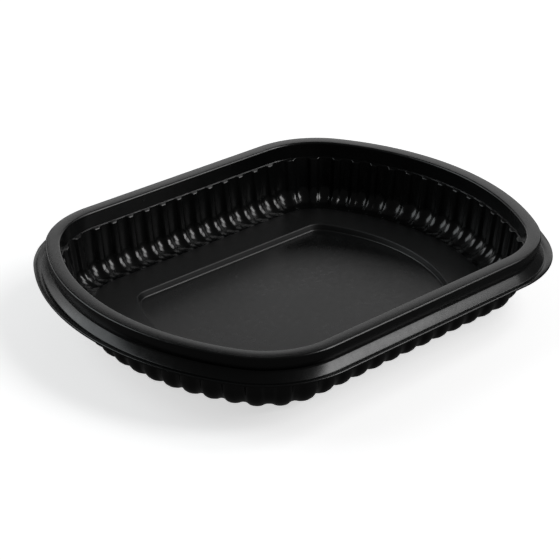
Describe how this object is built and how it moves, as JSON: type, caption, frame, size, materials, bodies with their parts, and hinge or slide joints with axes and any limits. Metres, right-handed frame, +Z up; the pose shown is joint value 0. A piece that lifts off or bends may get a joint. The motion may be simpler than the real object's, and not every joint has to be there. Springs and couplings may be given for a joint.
{
  "type": "microwave food container",
  "caption": "Shallow black one-piece microwave food tray with fluted walls, a flat-topped rim bead, a turned lip that a lid presses onto and a sunk floor panel.",
  "frame": {"origin": "centre of the underside of the sunk floor panel, on the table", "axes": "+X along the long straight sides, +Y across them, +Z up out of the tray's open top"},
  "size_m": [0.215, 0.1708, 0.031],
  "materials": {
    "tray": "black polypropylene sheet, satin to soft gloss as thermoformed"
  },
  "bodies": {
    "root": {"tray": "tray"}
  },
  "joints": []
}
